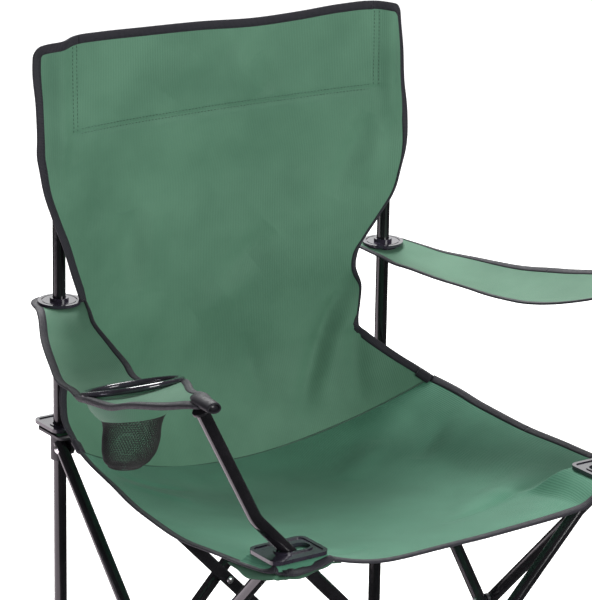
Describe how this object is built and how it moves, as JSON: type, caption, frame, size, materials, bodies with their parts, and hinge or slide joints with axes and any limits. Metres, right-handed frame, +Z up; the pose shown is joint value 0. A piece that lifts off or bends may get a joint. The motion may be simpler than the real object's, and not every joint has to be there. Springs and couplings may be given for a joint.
{
  "type": "folding camp chair",
  "caption": "Folding camp chair with a slung cloth seat and back on crossed steel tubes, cloth armrests and a mesh cup holder; folds to an upright bundle.",
  "frame": {"origin": "on the floor, at the middle of the square of the four feet", "axes": "+Z up, the sitter faces -Y, +X is the sitter's left"},
  "size_m": [0.722, 0.529, 0.937],
  "materials": {
    "frame_steel": "gloss black enamel",
    "cap_plastic": "matt black",
    "rivet_steel": "bright domed rivets",
    "moulding": "satin black",
    "gloss_moulding": "gloss purple-black",
    "spacer_plastic": "satin black",
    "ring_plastic": "gloss black",
    "mesh": "open black mesh",
    "cloth": "green woven cloth with dark bound edges"
  },
  "bodies": {
    "post_right": {"post_right": "frame_steel", "foot_rear_right": "moulding", "foot_rivets_rear_right": "rivet_steel", "post_cap_right": "cap_plastic", "sleeve_right": "cloth", "back_panel": "cloth"},
    "post_left": {"post_left": "frame_steel", "foot_rear_left": "moulding", "foot_rivets_rear_left": "rivet_steel", "post_cap_left": "cap_plastic", "sleeve_left": "cloth"},
    "rear_brace_outer": {"rear_brace_outer": "frame_steel", "cross_rivet_rear": "rivet_steel", "cross_spacer_rear": "spacer_plastic"},
    "rear_brace_inner": {"rear_brace_inner": "frame_steel"},
    "slider_right": {"slider_right": "moulding", "plate_rear_right": "gloss_moulding", "slider_rivets_right": "rivet_steel", "tab_rear_right": "cloth"},
    "slider_left": {"slider_left": "moulding", "plate_rear_left": "gloss_moulding", "slider_rivets_left": "rivet_steel", "tab_rear_left": "cloth"},
    "side_brace_right_inner": {"side_brace_right_inner": "frame_steel", "cross_rivet_right": "rivet_steel", "cross_spacer_right": "spacer_plastic"},
    "side_brace_right_outer": {"side_brace_right_outer": "frame_steel"},
    "foot_front_right": {"foot_front_right": "moulding", "foot_rivets_front_right": "rivet_steel"},
    "corner_front_right": {"bracket_right": "moulding", "plate_front_right": "gloss_moulding", "bracket_rivets_right": "rivet_steel", "tab_front_right": "cloth"},
    "arm_leg_right": {"arm_leg_right": "frame_steel", "cross_rivet_front": "rivet_steel", "cross_spacer_front": "spacer_plastic", "arm_cap_right": "cap_plastic"},
    "arm_leg_left": {"arm_leg_left": "frame_steel", "arm_cap_left": "cap_plastic"},
    "corner_front_left": {"bracket_left": "moulding", "plate_front_left": "gloss_moulding", "bracket_rivets_left": "rivet_steel", "tab_front_left": "cloth"},
    "foot_front_left": {"foot_front_left": "moulding", "foot_rivets_front_left": "rivet_steel"},
    "side_brace_left_outer": {"side_brace_left_outer": "frame_steel", "cross_rivet_left": "rivet_steel", "cross_spacer_left": "spacer_plastic"},
    "side_brace_left_inner": {"side_brace_left_inner": "frame_steel"},
    "arm_washer_right": {"arm_washer_right": "gloss_moulding"},
    "arm_washer_left": {"arm_washer_left": "gloss_moulding"},
    "seat_rear": {"seat_rear": "cloth"},
    "seat_front": {"seat_front": "cloth"},
    "armrest_rear_right": {"armrest_rear_right": "cloth"},
    "armrest_front_right": {"armrest_front_right": "cloth", "cup_ring": "ring_plastic", "cup_pocket": "mesh"},
    "armrest_rear_left": {"armrest_rear_left": "cloth"},
    "armrest_front_left": {"armrest_front_left": "cloth"}
  },
  "joints": [
    {"name": "fold", "type": "hinge", "parent": "post_right", "child": "rear_brace_outer", "pos_m": [-0.207, 0.239, 0.023], "axis": [0, -1, 0], "range_deg": [0, 35], "deforming": ["back_panel", "seat_rear", "seat_front", "armrest_rear_right", "armrest_front_right", "armrest_rear_left", "armrest_front_left"]},
    {"name": "rear_cross", "type": "hinge", "parent": "rear_brace_outer", "child": "rear_brace_inner", "pos_m": [0, 0.229, 0.24014], "axis": [0, -1, 0], "range_deg": [-70.01, 0]},
    {"name": "left_post_pivot", "type": "hinge", "parent": "rear_brace_inner", "child": "post_left", "pos_m": [0.207, 0.219, 0.023], "axis": [0, -1, 0], "range_deg": [0, 35.01]},
    {"name": "right_slider_pivot", "type": "hinge", "parent": "rear_brace_inner", "child": "slider_right", "pos_m": [-0.207, 0.219, 0.45729], "axis": [0, -1, 0], "range_deg": [0, 35.01]},
    {"name": "left_slider_pivot", "type": "hinge", "parent": "rear_brace_outer", "child": "slider_left", "pos_m": [0.207, 0.239, 0.45729], "axis": [0, -1, 0], "range_deg": [-35.01, 0]},
    {"name": "right_side_pivot", "type": "hinge", "parent": "post_right", "child": "side_brace_right_inner", "pos_m": [-0.219, 0.207, 0.023], "axis": [-1, 0, 0], "range_deg": [0, 35.01]},
    {"name": "right_cross", "type": "hinge", "parent": "side_brace_right_inner", "child": "side_brace_right_outer", "pos_m": [-0.229, 0, 0.24014], "axis": [-1, 0, 0], "range_deg": [-70.01, 0]},
    {"name": "right_front_foot_pivot", "type": "hinge", "parent": "side_brace_right_outer", "child": "foot_front_right", "pos_m": [-0.239, -0.207, 0.023], "axis": [-1, 0, 0], "range_deg": [0, 35.01]},
    {"name": "right_corner_pivot", "type": "hinge", "parent": "side_brace_right_inner", "child": "corner_front_right", "pos_m": [-0.219, -0.207, 0.45729], "axis": [-1, 0, 0], "range_deg": [-35.01, 0]},
    {"name": "right_leg_pivot", "type": "hinge", "parent": "corner_front_right", "child": "arm_leg_right", "pos_m": [-0.207, -0.239, 0.45729], "axis": [0, -1, 0], "range_deg": [-35.01, 0]},
    {"name": "front_cross", "type": "hinge", "parent": "arm_leg_right", "child": "arm_leg_left", "pos_m": [0, -0.229, 0.24014], "axis": [0, -1, 0], "range_deg": [0, 70.01]},
    {"name": "left_corner_pivot", "type": "hinge", "parent": "arm_leg_left", "child": "corner_front_left", "pos_m": [0.207, -0.219, 0.45729], "axis": [0, -1, 0], "range_deg": [-35.01, 0]},
    {"name": "left_front_foot_pivot", "type": "hinge", "parent": "arm_leg_right", "child": "foot_front_left", "pos_m": [0.207, -0.239, 0.023], "axis": [0, -1, 0], "range_deg": [0, 35.01]},
    {"name": "left_side_pivot", "type": "hinge", "parent": "post_left", "child": "side_brace_left_outer", "pos_m": [0.239, 0.207, 0.023], "axis": [-1, 0, 0], "range_deg": [0, 35.01]},
    {"name": "left_cross", "type": "hinge", "parent": "side_brace_left_outer", "child": "side_brace_left_inner", "pos_m": [0.229, 0, 0.24014], "axis": [-1, 0, 0], "range_deg": [-70.01, 0]},
    {"name": "right_washer_slide", "type": "slide", "parent": "post_right", "child": "arm_washer_right", "axis": [0, 0, 1], "range_m": [0, 0.09501]},
    {"name": "left_washer_slide", "type": "slide", "parent": "post_left", "child": "arm_washer_left", "axis": [0, 0, 1], "range_m": [0, 0.09501]},
    {"name": "seat_rear_swing", "type": "hinge", "parent": "slider_right", "child": "seat_rear", "pos_m": [0, 0.2, 0.48], "axis": [1, 0, 0], "range_deg": [0, 55.66]},
    {"name": "seat_front_swing", "type": "hinge", "parent": "corner_front_right", "child": "seat_front", "pos_m": [0, -0.229, 0.474], "axis": [-1, 0, 0], "range_deg": [0, 62.79]},
    {"name": "right_arm_front_swing", "type": "hinge", "parent": "arm_leg_right", "child": "armrest_front_right", "pos_m": [-0.33721, -0.239, 0.663], "axis": [-0.9701, 0.194, 0.1455], "range_deg": [0, 73.06]},
    {"name": "left_arm_front_swing", "type": "hinge", "parent": "arm_leg_left", "child": "armrest_front_left", "pos_m": [0.33721, -0.219, 0.663], "axis": [-0.9701, -0.194, -0.1455], "range_deg": [0, 85.16]},
    {"name": "right_arm_rear_swing", "type": "hinge", "parent": "arm_washer_right", "child": "armrest_rear_right", "pos_m": [-0.229, 0.229, 0.626], "axis": [0.4307, 0.0521, -0.901], "range_deg": [0, 35.51]},
    {"name": "left_arm_rear_swing", "type": "hinge", "parent": "arm_washer_left", "child": "armrest_rear_left", "pos_m": [0.229, 0.229, 0.626], "axis": [0.4169, 0.0425, 0.9079], "range_deg": [0, 30.46]}
  ],
  "couplings": [
    {"joint": "rear_cross", "follows": "fold", "ratio": -2},
    {"joint": "left_post_pivot", "follows": "fold", "ratio": 1},
    {"joint": "right_slider_pivot", "follows": "fold", "ratio": 1},
    {"joint": "left_slider_pivot", "follows": "fold", "ratio": -1},
    {"joint": "right_side_pivot", "follows": "fold", "ratio": 1},
    {"joint": "right_cross", "follows": "fold", "ratio": -2},
    {"joint": "right_front_foot_pivot", "follows": "fold", "ratio": 1},
    {"joint": "right_corner_pivot", "follows": "fold", "ratio": -1},
    {"joint": "right_leg_pivot", "follows": "fold", "ratio": -1},
    {"joint": "front_cross", "follows": "fold", "ratio": 2},
    {"joint": "left_corner_pivot", "follows": "fold", "ratio": -1},
    {"joint": "left_front_foot_pivot", "follows": "fold", "ratio": 1},
    {"joint": "left_side_pivot", "follows": "fold", "ratio": 1},
    {"joint": "left_cross", "follows": "fold", "ratio": -2},
    {"joint": "right_washer_slide", "follows": "fold", "m_per_rad": 0.15552},
    {"joint": "left_washer_slide", "follows": "fold", "m_per_rad": 0.15552},
    {"joint": "seat_rear_swing", "follows": "fold", "ratio": 1.59},
    {"joint": "seat_front_swing", "follows": "fold", "ratio": 1.7937},
    {"joint": "right_arm_front_swing", "follows": "fold", "ratio": 2.0871},
    {"joint": "left_arm_front_swing", "follows": "fold", "ratio": 2.4329},
    {"joint": "right_arm_rear_swing", "follows": "fold", "ratio": 1.0143},
    {"joint": "left_arm_rear_swing", "follows": "fold", "ratio": 0.87}
  ]
}
